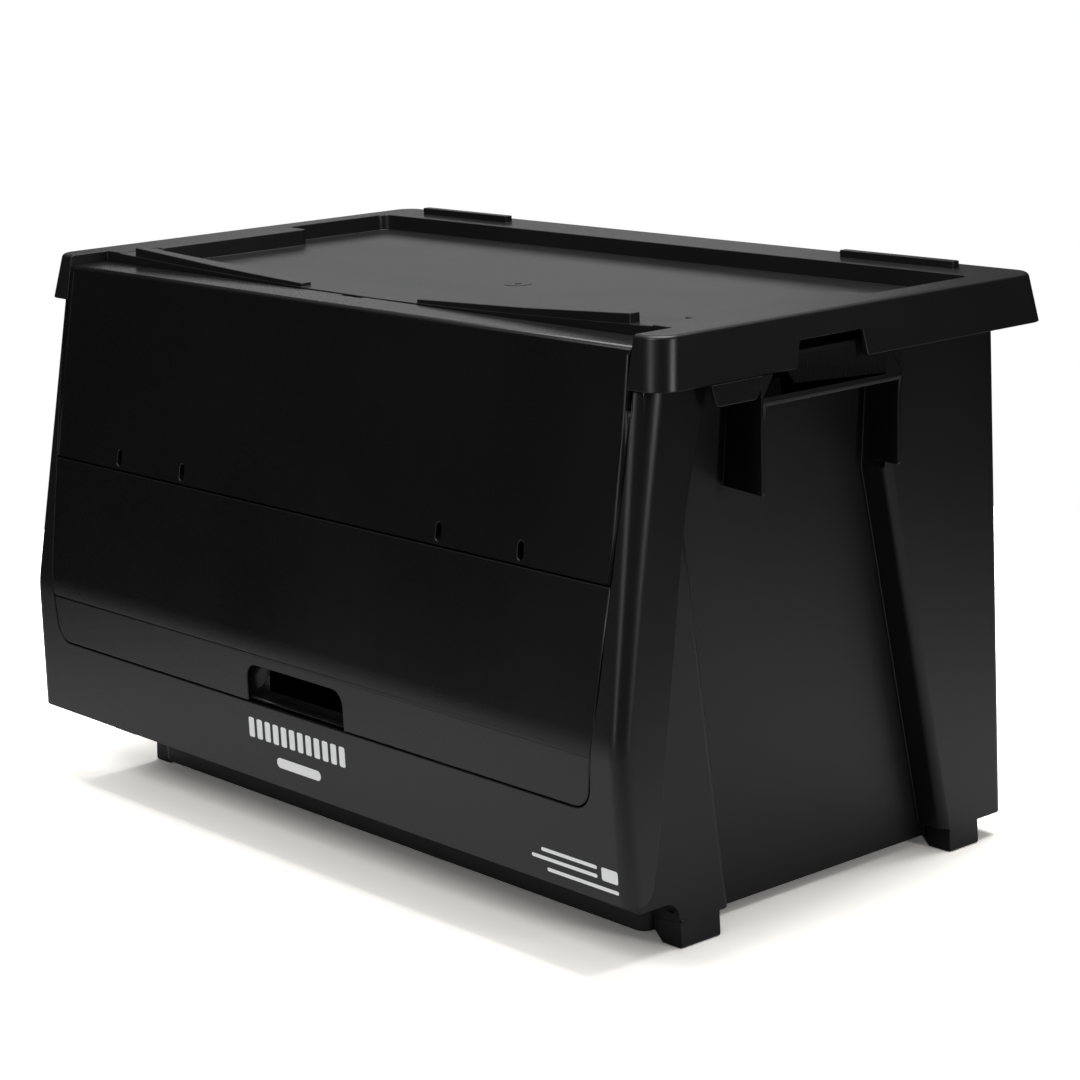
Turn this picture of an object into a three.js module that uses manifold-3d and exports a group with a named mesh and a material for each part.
// Storage tote, 600 x 355 x 350 mm: open-fronted tub, clipped-on front frame,
// lift-off lid with a stacking tray, and a two-panel folding front door.
// Units mm.  +X right (seen from the front), front faces -Y, +Z up.
// Origin: centre of the footprint, on the plane the feet stand on.
import * as THREE from "three";
import { mergeVertices } from "three/addons/utils/BufferGeometryUtils.js";
import Module from "manifold-3d";

// ---------- shared dimensions ----------
const WALL = 3; // moulded wall thickness

// Front face: two leaning planes joined by a rounded horizontal bend.
const FRONT_Y = -177.75; // where the planes would meet; the rounding reaches -177.5
const BEND_Z = 128.5;
const BEND_HALF = 7; // height of the rounding each way
const UPPER_LEAN = 0.1436; // leans back above the bend
const LOWER_LEAN = 0.0471; // tucks back below it
const BEND_LEVELS = [-1, -0.6, -0.2, 0.2, 0.6, 1].map((k) => BEND_Z + k * BEND_HALF);

// Lid tray: stepped in plan, wider behind the step.
const TRAY = { front: -86.5, step: 43, rear: 134.5, xFront: 254, xRear: 277, floor: 334 };
const TRAY_CLEARANCE = { side: 1.4, below: 0.6 }; // between tray and tub

// Door axes, both along X.
const PIVOT = { y: -124.7, z: 334.8 }; // the whole door swings here
const PIVOT_PIN_R = 2;
const FOLD = { y: -159.5, z: 220.3 }; // the two panels fold here
const FOLD_PIN_R = 1.5;
const HINGE_X = [127, 197.5]; // hinge centres, each side
const DOOR_BOTTOM = 93;
const DOOR_CORNER_R = 13;
const DOOR_RETURN = 8; // depth of the side returns from the outer face
const SEAM_UPPER = 212.6; // lower edge of the upper panel
const SEAM_LOWER = 211.4; // upper edge of the lower panel
const LEG_Z = 13.8; // underside of the legs

// [height, half width of the door]
const DOOR_HALF = [
  [93, 257.3], [110, 259.6], [153, 265.4], [184, 267.8], [212, 270], [268, 274.7], [303, 276.7],
];
// [height, Y of the frame's rear edge]
const FRAME_REAR = [[52.8, -156.6], [82, -149.9], [143, -139.4], [249, -121.5], [310.6, -104.6]];
// [height, radius of the frame's front corners]; constant beyond the ends
const FRAME_CORNER = [[140, 9], [314.5, 15]];

// ---------- profiles ----------
function frontY(z) {
  const rise = z - BEND_Z + BEND_HALF;
  if (rise > 0 && rise < 2 * BEND_HALF) {
    const curve = (UPPER_LEAN + LOWER_LEAN) / (4 * BEND_HALF);
    return FRONT_Y + LOWER_LEAN * BEND_HALF - LOWER_LEAN * rise + curve * rise * rise;
  }
  return z >= BEND_Z
    ? FRONT_Y + UPPER_LEAN * (z - BEND_Z)
    : FRONT_Y + LOWER_LEAN * (BEND_Z - z);
}
// Linear interpolation; the end segments run on past the table.
function lookUp(table, z) {
  let i = 0;
  while (i < table.length - 2 && z > table[i + 1][0]) i++;
  const [z0, value0] = table[i];
  const [z1, value1] = table[i + 1];
  return value0 + ((z - z0) * (value1 - value0)) / (z1 - z0);
}
const doorHalf = (z) => lookUp(DOOR_HALF, z);
const frameRearY = (z) => lookUp(FRAME_REAR, z);
const frameCornerR = (z) => lookUp(FRAME_CORNER, Math.min(Math.max(z, 140), 314.5));
const frameX = (z) => 285.5 + 0.019 * Math.max(z - 210, 0);
const legX = (z) => 252 + 0.1165 * (z - LEG_Z); // outer side of the legs

// ---------- outlines ----------
const rect = (x0, x1, y0, y1) => [[x0, y0], [x1, y0], [x1, y1], [x0, y1]];

// Angles in degrees; steps + 1 points.
function arc(centreU, centreV, radius, start, end, steps) {
  return Array.from({ length: steps + 1 }, (_, i) => {
    const angle = ((start + ((end - start) * i) / steps) * Math.PI) / 180;
    return [centreU + radius * Math.cos(angle), centreV + radius * Math.sin(angle)];
  });
}
// Anticlockwise; radius is one number or [x0y0, x1y0, x1y1, x0y1].
function roundedRect(x0, x1, y0, y1, radius, steps = 5) {
  const [a, b, c, d] = Array.isArray(radius) ? radius : [radius, radius, radius, radius];
  return [
    ...arc(x0 + a, y0 + a, a, 180, 270, steps),
    ...arc(x1 - b, y0 + b, b, 270, 360, steps),
    ...arc(x1 - c, y1 - c, c, 0, 90, steps),
    ...arc(x0 + d, y1 - d, d, 90, 180, steps),
  ];
}
// Closes a right-hand outline with its mirror image in X = 0.
const symmetric = (right) => [...right, ...right.map(([x, v]) => [-x, v]).reverse()];

function trayOutline(offset) {
  const xFront = TRAY.xFront + offset;
  const xRear = TRAY.xRear + offset;
  const step = TRAY.step - offset;
  const rearR = 7 + offset;
  return symmetric([
    ...arc(xFront - 3, TRAY.front - offset + 3, 3, 270, 360, 3),
    ...arc(xFront + 5 - offset, step - 5 + offset, 5 - offset, 180, 90, 4),
    ...arc(xRear - 5 - offset, step + 5 + offset, 5 + offset, 270, 360, 4),
    ...arc(xRear - rearR, TRAY.rear + offset - rearR, rearR, 0, 90, 6),
  ]);
}
// Right edge of the lower door panel from its bottom corner up, in X and Z.
function doorEdge(offset) {
  const cornerZ = DOOR_BOTTOM + DOOR_CORNER_R;
  const cornerX = doorHalf(cornerZ) - DOOR_CORNER_R;
  return [
    ...arc(cornerX, cornerZ, DOOR_CORNER_R + offset, 270, 360, 6),
    ...[110, 153, 184].map((z) => [doorHalf(z) + offset, z]),
  ];
}

// ---------- geometry ----------
// Where outline coordinates (u, v) and the level w go for each loft axis.
const PLACE = {
  x: (u, v, w) => [w, u, v],
  y: (u, v, w) => [u, w, v],
  z: (u, v, w) => [u, v, w],
};
// Closed body through [level, outline] sections with equal point counts.
function loft(sections, axis = "z") {
  const toVectors = (outline) => outline.map(([u, v]) => new THREE.Vector2(u, v));
  const clockwise = THREE.ShapeUtils.area(toVectors(sections[0][1])) < 0;
  const rings = sections.map(([level, outline]) => ({
    level,
    outline: clockwise ? outline.slice().reverse() : outline,
  }));
  const count = rings[0].outline.length;
  const positions = rings.flatMap(({ level, outline }) =>
    outline.flatMap(([u, v]) => PLACE[axis](u, v, level)));
  const indices = [];
  // (u, v, w) is left-handed on the y axis, so its triangles are reversed.
  const addTriangle = (a, b, c) => indices.push(...(axis === "y" ? [a, c, b] : [a, b, c]));

  for (let k = 0; k < rings.length - 1; k++) {
    for (let i = 0; i < count; i++) {
      const j = (i + 1) % count;
      const low = k * count;
      const high = low + count;
      addTriangle(low + i, low + j, high + j);
      addTriangle(low + i, high + j, high + i);
    }
  }
  const addCap = (ring, faceUp) => {
    const points = toVectors(rings[ring].outline);
    for (const face of THREE.ShapeUtils.triangulateShape(points, [])) {
      const [A, B, C] = face.map((i) => points[i]);
      const turnsLeft = (B.x - A.x) * (C.y - A.y) - (B.y - A.y) * (C.x - A.x) > 0;
      const [a, b, c] = face.map((i) => i + ring * count);
      if (turnsLeft === faceUp) addTriangle(a, b, c);
      else addTriangle(a, c, b);
    }
  };
  addCap(0, false);
  addCap(rings.length - 1, true);
  return makeGeometry(positions, indices);
}
function makeGeometry(positions, indices) {
  const geometry = new THREE.BufferGeometry();
  geometry.setAttribute("position", new THREE.Float32BufferAttribute(positions, 3));
  geometry.setIndex(indices);
  return geometry;
}
const loftZ = (levels, outlineAt) => loft(levels.map((z) => [z, outlineAt(z)]));
// Outlines are (y, z) along x, (x, z) along y and (x, y) along z.
const prism = (outline, axis, from, to) => loft([[from, outline], [to, outline]], axis);
const box = (x0, x1, y0, y1, z0, z1) => prism(rect(x0, x1, y0, y1), "z", z0, z1);
const rod = ({ y, z }, radius, x0, x1) => prism(arc(y, z, radius, 0, 360 - 360 / 28, 27), "x", x0, x1);
const frontPrism = (outline) => prism(outline, "y", -300, 0);

// ---------- solids ----------
const wasm = await Module();
wasm.setup();

function toSolid(shape) {
  if (!shape.isBufferGeometry) return shape;
  const welded = mergeVertices(shape, 1e-4);
  return new wasm.Manifold(new wasm.Mesh({
    numProp: 3,
    vertProperties: new Float32Array(welded.attributes.position.array),
    triVerts: new Uint32Array(welded.index.array),
  }));
}
function toGeometry(shape) {
  if (shape.isBufferGeometry) return shape;
  const mesh = shape.getMesh();
  return makeGeometry(Float32Array.from(mesh.vertProperties), Array.from(mesh.triVerts));
}
// Mirror image in X = 0, with the triangles turned to face outward again.
function mirror(shape) {
  const geometry = toGeometry(shape).clone();
  const position = geometry.attributes.position;
  for (let i = 0; i < position.count; i++) position.setX(i, -position.getX(i));
  const index = geometry.index.array;
  for (let i = 0; i < index.length; i += 3) {
    [index[i + 1], index[i + 2]] = [index[i + 2], index[i + 1]];
  }
  return geometry;
}
const bothSides = (shape) => [shape, mirror(shape)];
const join = (...shapes) => shapes.flat().map(toSolid).reduce((sum, part) => sum.add(part));
const cut = (body, ...tools) =>
  tools.flat().map(toSolid).reduce((rest, tool) => rest.subtract(tool), toSolid(body));
const common = (a, b) => toSolid(a).intersect(toSolid(b));

// ---------- tub ----------
const CORE = { bottom: 5.5, top: 341.4, front: -113, rear: 143 };
const TUB_SETBACK = 13; // tub edge behind the front surface
const SILL_Z = 84;
const FLANGE = { x: 292, rear: 171.5, z0: 320.5, z1: 324 };
const LEG_R = 6;
const REAR_LEG_W = 45;
const FRONT_LEG_W = 24;
const LEG_OPENING = 32; // front leg cavity, reaching into the tub
const GRIP = { x: FLANGE.x, front: -62, rear: 52, post: 13 };

const wallX = (z) => 231 + 0.1165 * (z - CORE.bottom);
const frontLegFrontY = (z) => -106 - (z - LEG_Z) * 0.16;
const frontLegRearY = (z) => -65 - 0.217 * (z - 15);
const rearLegFrontY = (z) => (z < 242 ? 121 - 0.2954 * (z - 5) : 51);
const rearLegRearY = (z) => 172 - 0.098 * (z - 19);

const rearLeg = (levels, inset) => loftZ(levels, (z) => roundedRect(
  legX(z) - REAR_LEG_W + inset, legX(z) - inset,
  rearLegFrontY(z) + inset, rearLegRearY(z) - inset, LEG_R - inset));

const frontLeg = (bottom, width, inset, radius) => loftZ([bottom, 285], (z) => roundedRect(
  legX(z) - width, legX(z) - inset,
  frontLegFrontY(z) + inset, frontLegRearY(z) - inset, radius));

// Part of the front leg that runs forward behind the frame; outline in Y and Z.
const legNose = (outline, innerInset, outerInset) => common(
  prism(outline, "x", 150, 320),
  loftZ([0, 400], (z) => rect(legX(z) - innerInset, legX(z) - outerInset, -500, 500)));

function buildTubOuter() {
  const nose = legNose([
    [-137, 27], [-117, 27], ...arc(-117, 16, 11, 90, 0, 5), [-90, 16],
    [frontLegRearY(150) - 8, 150], [frontLegRearY(291) - 2, 291], [-150, 291],
    [frontY(BEND_Z) + TUB_SETBACK, BEND_Z], [frontY(55) + TUB_SETBACK, 55],
  ], FRONT_LEG_W, 0);
  return join(
    loftZ([CORE.bottom, CORE.top], (z) =>
      roundedRect(-wallX(z), wallX(z), CORE.front, CORE.rear, 7)),
    loftZ([SILL_Z - WALL, CORE.top], (z) => rect(-wallX(z), wallX(z), -172, 0)),
    bothSides(rearLeg([LEG_Z, 242, CORE.top], 0)),
    bothSides(frontLeg(LEG_Z, FRONT_LEG_W, 0, [1, LEG_R, LEG_R, 1])),
    bothSides(nose),
    prism(roundedRect(-FLANGE.x, FLANGE.x, -108, FLANGE.rear, [2, 2, 9, 9]),
      "z", FLANGE.z0, FLANGE.z1),
  );
}

function buildTubInner() {
  const nose = legNose([
    [-136, 30], [-112, 30], [-104, 20], [-90, 20],
    [frontLegRearY(150) - 8, 150], [frontLegRearY(291) - 5, 291], [-150, 291], [-400, 291],
    [-400, SILL_Z], [frontY(SILL_Z) + TUB_SETBACK + WALL, SILL_Z],
    [frontY(56) + TUB_SETBACK + WALL, 56.5],
  ], LEG_OPENING, WALL);
  const innerX = (z) => wallX(z) - WALL;
  return join(
    loftZ([CORE.bottom + WALL, 400], (z) =>
      roundedRect(-innerX(z), innerX(z), CORE.front + WALL, CORE.rear - WALL, 4)),
    loftZ([SILL_Z, 400], (z) => rect(-innerX(z), innerX(z), -400, -50)),
    bothSides(rearLeg([LEG_Z + WALL, 242, 400], WALL)),
    bothSides(frontLeg(LEG_Z + WALL, LEG_OPENING, WALL, LEG_R - WALL)),
    bothSides(nose),
  );
}

// Right side grip plate: turned-down lip, recessed panel between end posts.
function buildGripPlate() {
  const { x } = GRIP;
  // The lip in X and Z, from its outer bulge round to the inner face.
  const lip = [
    [x + 0.6, 298.6], [x - 0.4, 296.2], [x - 2.6, 295.5],
    [x - 5, 297.4], [x - 6.4, 301.5], [x - 6.4, FLANGE.z1],
  ];
  const post = [[x, FLANGE.z1], [x, 301], ...lip];
  const panel = [[x - 1.1, FLANGE.z1], [x - 1.1, 303], [x, 301], ...lip];
  const postEnd = GRIP.front + GRIP.post;
  const postStart = GRIP.rear - GRIP.post;
  return join(
    prism(post, "y", -65.2, postEnd),
    prism(post, "y", postStart, 51.7),
    prism(panel, "y", postEnd - 1, postStart + 1),
  );
}

// Gusset under the flange; lowerEdge in X and Z, starting at the inner end.
const gusset = (lowerEdge, y0, y1) =>
  prism([...lowerEdge, [GRIP.x, 298], [GRIP.x, 322], [lowerEdge[0][0], 322]], "y", y0, y1);

const foot = (y0, y1, innerX) => prism([
  [innerX, 0], [251, 0], [252, 1], [252, LEG_Z + 1],
  [innerX - 9, LEG_Z + 1], [innerX - 6.5, 6.5],
], "y", y0, y1);

function buildTub() {
  const frontGusset = gusset([[255, 249], [288.2, 246.6], [289.4, 247.6], [290.6, 280]], -65.5, -62.5);
  const rearGusset = gusset([[270, 247.4], [287.4, 246.8], [288.6, 247.8], [290.4, 280]], 49, 52);
  const body = join(
    cut(buildTubOuter(), buildTubInner()),
    bothSides(frontGusset),
    bothSides(rearGusset),
    bothSides(buildGripPlate()),
    bothSides(foot(-104.8, -74, 236.5)),
    bothSides(foot(122.8, 149, 235)),
  );
  // Everything ahead of the tub's front edge, in Y and Z.
  const ahead = [
    [-400, 20], [frontY(27) + TUB_SETBACK, 20], [frontY(BEND_Z) + TUB_SETBACK, BEND_Z],
    [frontY(280) + TUB_SETBACK, 280], [-108, 300], [-108, 400], [-400, 400],
  ];
  const trayRoom = prism(trayOutline(WALL + TRAY_CLEARANCE.side),
    "z", TRAY.floor - WALL - TRAY_CLEARANCE.below, 400);
  return cut(body, prism(ahead, "x", -400, 400), trayRoom);
}

// ---------- front frame ----------
const FRAME = { bottom: 45.7, top: 314.5, skin: 3, side: 2.6 };
const DOOR_GAP = 0.8; // between door edge and frame

const framePlan = (x, front, rear, radius) =>
  symmetric([...arc(x - radius, front + radius, radius, 270, 360, 9), [x, rear]]);

function buildFrame() {
  const levels = [52.8, 82, ...BEND_LEVELS, 143, 210, 249, 310.6];
  const shell = loftZ([FRAME.bottom, ...levels, FRAME.top], (z) =>
    framePlan(frameX(z), frontY(z), frameRearY(z), frameCornerR(z)));
  const hollow = loftZ([30, ...levels, 330], (z) =>
    framePlan(frameX(z) - FRAME.side, frontY(z) + FRAME.skin, 0, frameCornerR(z) - FRAME.side));
  const opening = frontPrism(symmetric([
    ...doorEdge(DOOR_GAP),
    ...[212, 268, 303].map((z) => [doorHalf(z) + DOOR_GAP, z]),
    [doorHalf(303) + DOOR_GAP, 330],
  ]));
  // Rounds off the lower rear corner of each side.
  const cornerCut = prism([
    [-167, 30], [-167, 45.7], ...arc(-167, 57.2, 11.5, 270, 360, 6).slice(1),
    [-100, 57.2], [-100, 30],
  ], "x", 270, 300);
  // Web from the side of the frame inward towards the leg.
  const web = loftZ([50, 52.8, 82, 143, 249, 262], (z) =>
    rect(legX(z) + 0.6, frameX(z) - 1.5, frameRearY(z) - 5, frameRearY(z) - 2));
  // Ear that carries the door pivot pin.
  const ear = cut(
    prism([
      [-148.2, 298], [-112, 298], [-112, 330], [-117, 341],
      [-139.5, 341], [-143.5, 330], [-146.9, 314.5],
    ], "x", 279.3, 283.3),
    rod(PIVOT, PIVOT_PIN_R + 0.3, 270, 290),
  );
  const earBase = prism([[-141, 298], [-112, 298], [-112, 309], [-140, 309]], "x", 279.3, 286);
  return join(
    cut(shell, hollow, opening, bothSides(cornerCut)),
    bothSides(web), bothSides(ear), bothSides(earBase),
  );
}

// ---------- lid ----------
const LID = {
  skirtZ: 315.5, // lower edge of the skirt
  top: 345,
  stackRibTop: 350,
  cornerR: 14,
  skirt: { x: 300, front: -151.7, rear: 177.5 }, // plan at the skirt edge
  rim: { x: 296.3, front: -146.2, rear: 174.2 }, // plan at the top
};
// Cheeks flank the door; inner faces measured from X = 0.
const CHEEK = { innerTop: 275.5, innerBottom: 274, wallInner: 278.3 };
// Dished strip across the lid, ahead of the tray.
const STRIP = { front: -116.5, low: 338.3, rise: 6.5, half: 270 };
const stripZ = (x) => STRIP.low + STRIP.rise * Math.pow(x / STRIP.half, 2);

// Loft section with the plan taken at z, placed at level.
function lidSection(z, inset, radius, level = z) {
  const t = (z - LID.skirtZ) / (LID.top - LID.skirtZ);
  const at = (side) => LID.skirt[side] + t * (LID.rim[side] - LID.skirt[side]);
  const x = at("x") - inset;
  return [level, roundedRect(-x, x, at("front") + inset, at("rear") - inset, radius, 7)];
}

function buildLidHollow(stripX) {
  const radius = LID.cornerR - WALL;
  const { wallInner } = CHEEK;
  const stripBody = prism([
    ...stripX.map((x) => [x, Math.min(stripZ(x), 345.2) - WALL]), [280, 360], [-280, 360],
  ], "y", STRIP.front, TRAY.front + WALL);
  return cut(
    loft([
      lidSection(LID.skirtZ, WALL, radius, LID.skirtZ - 5),
      lidSection(LID.top - WALL, WALL, radius),
    ]),
    box(-wallInner, wallInner, -300, STRIP.front + WALL, 200, 400),
    prism(trayOutline(WALL), "z", TRAY.floor - WALL, 400),
    stripBody,
  );
}

// Rib standing on the strip, rising towards its outer end.
function buildStripRib() {
  const ribX = [57, 80, 105, 130, 155, 180, 205, 230, 242];
  const height = (x) => 2.4 + (3.6 * (x - 57)) / (242 - 57);
  return prism([
    ...ribX.map((x) => [x, stripZ(x) - 1.5]),
    ...ribX.slice().reverse().map((x) => [x, stripZ(x) + height(x)]),
  ], "y", -116, -108);
}

function buildLid() {
  const stripX = Array.from({ length: 29 }, (_, i) => -280 + 20 * i);
  const outer = loft([
    lidSection(LID.skirtZ, 0, LID.cornerR),
    lidSection(LID.top - 2, 0, LID.cornerR),
    lidSection(LID.top - 0.6, 0.6, LID.cornerR - 0.6),
    lidSection(LID.top, 2, LID.cornerR - 2),
  ]);
  const cheekPlan = (half) => rect(-half, half, -300, STRIP.front);
  const cheekCut = loft([
    [300, cheekPlan(CHEEK.innerBottom - 0.75)],
    [LID.top + 5, cheekPlan(CHEEK.innerTop + 0.25)],
  ]);
  const trayCavity = loft([[TRAY.floor, trayOutline(-0.6)], [346, trayOutline(0)]]);
  const stripCut = prism([
    ...stripX.filter((x) => Math.abs(x) < 275).map((x) => [x, stripZ(x)]),
    [268, 360], [-268, 360],
  ], "y", -130, TRAY.front + 2);
  const sideNotch = prism([
    [-44.2, 310], [-44, LID.skirtZ], [-39, 330.5],
    [13, 330.5], [14.7, LID.skirtZ], [14.9, 310],
  ], "x", 290, 310);
  const pinNotch = prism([
    [PIVOT.y - 2.7, 300], [PIVOT.y + 2.7, 300], ...arc(PIVOT.y, PIVOT.z, 2.7, 0, 180, 8),
  ], "x", 270, 279);
  // Tab hanging below the side skirt.
  const tab = prism([
    [-111.9, LID.skirtZ + 0.8], [-111.9, LID.skirtZ], [-109.6, 306],
    ...arc(-105.9, 305.6, 2.6, 200, 270, 3), ...arc(-78.7, 305.6, 2.6, 270, 340, 3),
    [-74.6, 306], [-72.3, LID.skirtZ], [-72.3, LID.skirtZ + 0.8],
  ], "x", LID.skirt.x - WALL, LID.skirt.x - 0.2);
  const rearStackRib = box(159, 251, 150, 156, LID.top - 1, LID.stackRibTop);
  const body = cut(outer, buildLidHollow(stripX), cheekCut, trayCavity, stripCut,
    bothSides(sideNotch), bothSides(pinNotch));
  return join(body, bothSides(tab), bothSides(buildStripRib()), bothSides(rearStackRib));
}

// ---------- door ----------
// Full-width slab between two depths behind the front surface.
function frontSlab(z0, z1, outerDepth, innerDepth) {
  const levels = [z0, ...BEND_LEVELS.filter((z) => z > z0 && z < z1), z1];
  return prism([
    ...levels.map((z) => [frontY(z) + outerDepth, z]),
    ...levels.slice().reverse().map((z) => [frontY(z) + innerDepth, z]),
  ], "x", -300, 300);
}
const foldBores = () => bothSides(rod(FOLD, FOLD_PIN_R + 0.2, 100, 230));

function buildUpperDoor() {
  const top = 338.3;
  const narrowX = 273.5; // half width above the step
  const stepZ = 304;
  const seamX = doorHalf(SEAM_UPPER);
  const shape = frontPrism(symmetric([
    [seamX, SEAM_UPPER], [274.7, 268], [276.6, 301], [276.1, 303.2],
    [275, stepZ], [narrowX, stepZ], [narrowX, 345],
  ]));
  // Skin with the top turned back to the pivot, in Y and Z.
  const section = [
    [frontY(SEAM_UPPER), SEAM_UPPER], [frontY(SEAM_UPPER) + WALL, SEAM_UPPER],
    [frontY(334) + WALL + 0.6, 334], [frontY(335) + 5, 335.3],
    [-118.7, 335.3], [-118.7, top], ...arc(-144.2, 335.2, 3.1, 90, 172, 5),
  ];
  const inset = frontPrism(symmetric([
    [seamX - WALL, 200], [narrowX - WALL, 268], [narrowX - WALL, 345],
  ]));
  const returns = cut(common(frontSlab(SEAM_UPPER, 334, 0, DOOR_RETURN), shape), inset);
  const pivotBoss = rod(PIVOT, 3.5, 265.5, narrowX);

  // Each hinge: a knuckle either side of a slot for the lower panel's arm.
  const knuckle = [
    [-163, 214.4], [FOLD.y, FOLD.z - 3.8], ...arc(FOLD.y, FOLD.z, 3.8, -60, 60, 6),
    [FOLD.y, FOLD.z + 3.8], [-161.5, 227],
  ];
  const knuckles = HINGE_X.flatMap((x) => [
    ...bothSides(prism(knuckle, "x", x - 6.4, x - 2.4)),
    ...bothSides(prism(knuckle, "x", x + 2.4, x + 6.4)),
  ]);
  const slots = HINGE_X.flatMap((x) => bothSides(prism(
    [...arc(x, 222.9, 2.2, 0, 180, 6), ...arc(x, 216.8, 2.2, 180, 360, 6)], "y", -200, -158)));

  const skin = common(prism(section, "x", -300, 300), shape);
  return cut(
    join(skin, returns, bothSides(pivotBoss), knuckles),
    slots,
    foldBores(),
    bothSides(rod(PIVOT, PIVOT_PIN_R + 0.25, 270.4, 290)),
    box(-10, 10, -121.5, -100, 330, 345), // notch in the middle of the top rear edge
  );
}

// Recess at the middle of the lower panel's bottom edge; half width x.
const POCKET = { x: 47, top: 116, radius: 9, back: -155.5, wall: 2.5 };

function pocketOutline(offset, bottom) {
  const { x, top, radius } = POCKET;
  const corner = (centreX, start) =>
    arc(centreX, top - radius, radius + offset, start, start + 90, 5);
  return [
    [-x - offset, bottom], [x + offset, bottom],
    ...corner(x - radius, 0), ...corner(-x + radius, 90),
  ];
}

function buildLowerDoor() {
  const seamX = doorHalf(SEAM_LOWER);
  const shape = frontPrism(symmetric([...doorEdge(0), [seamX, SEAM_LOWER]]));
  const inset = frontPrism(symmetric([
    ...doorEdge(-WALL), [seamX - WALL, SEAM_LOWER], [seamX - WALL, 230],
  ]));
  const skin = common(frontSlab(80, 225, 0, WALL), shape);
  const returns = cut(common(frontSlab(80, 225, 0, DOOR_RETURN), shape), inset);
  const pocketShell = prism(pocketOutline(POCKET.wall, DOOR_BOTTOM),
    "y", -176, POCKET.back + POCKET.wall);
  const pocketCavity = prism(pocketOutline(0, DOOR_BOTTOM + 2.5), "y", -200, POCKET.back);
  // Hinge arm reaching up to the fold axis, in Y and Z.
  const arm = [
    ...arc(FOLD.y, FOLD.z, 4, -30, 200, 12), [FOLD.y - 1.4, FOLD.z - 3.7],
    [FOLD.y - 1.4, 210.6], [frontY(210.6) + 1.5, 210.6], [frontY(199) + 1.5, 199],
    [frontY(199) + 4, 199], [FOLD.y + 2.8, 204],
  ];
  const arms = HINGE_X.flatMap((x) => bothSides(prism(arm, "x", x - 1.5, x + 1.5)));
  return cut(
    join(skin, returns, pocketShell, arms),
    pocketCavity,
    box(-POCKET.x, POCKET.x, -200, -172.2, 80, DOOR_BOTTOM + 6), // opens the pocket's front edge
    foldBores(),
  );
}

// ---------- pins, right side ----------
const buildPivotPin = () => join(
  rod(PIVOT, PIVOT_PIN_R, 271, 284),
  rod(PIVOT, 3.4, 283.7, 285.3), // head
);
const buildFoldPin = () => toSolid(rod(FOLD, FOLD_PIN_R, 120, 204.5));

// ---------- assembly ----------
const METAL = { color: 0x9a9da1, roughness: 0.35, metalness: 0.9 };
const group = new THREE.Group();
group.name = "front_opening_tote";

function addPart(name, shape, finish) {
  const geometry = toGeometry(toSolid(shape));
  geometry.computeVertexNormals();
  const material = new THREE.MeshStandardMaterial({ name: `${name}_material`, ...finish });
  const mesh = new THREE.Mesh(geometry, material);
  mesh.name = name;
  group.add(mesh);
}
function addPinPair(name, pin) {
  addPart(`${name}_right`, pin, METAL);
  addPart(`${name}_left`, mirror(pin), METAL);
}

addPart("tub", buildTub(), { color: 0x26272a, roughness: 0.55 });
addPart("front_frame", buildFrame(), { color: 0x222326, roughness: 0.5 });
addPart("lid", buildLid(), { color: 0x2a2b2e, roughness: 0.5 });
addPart("door_upper", buildUpperDoor(), { color: 0x202124, roughness: 0.45 });
addPart("door_lower", buildLowerDoor(), { color: 0x212225, roughness: 0.45 });
addPinPair("door_pivot_pin", buildPivotPin());
addPinPair("fold_hinge_pin", buildFoldPin());

export default group;
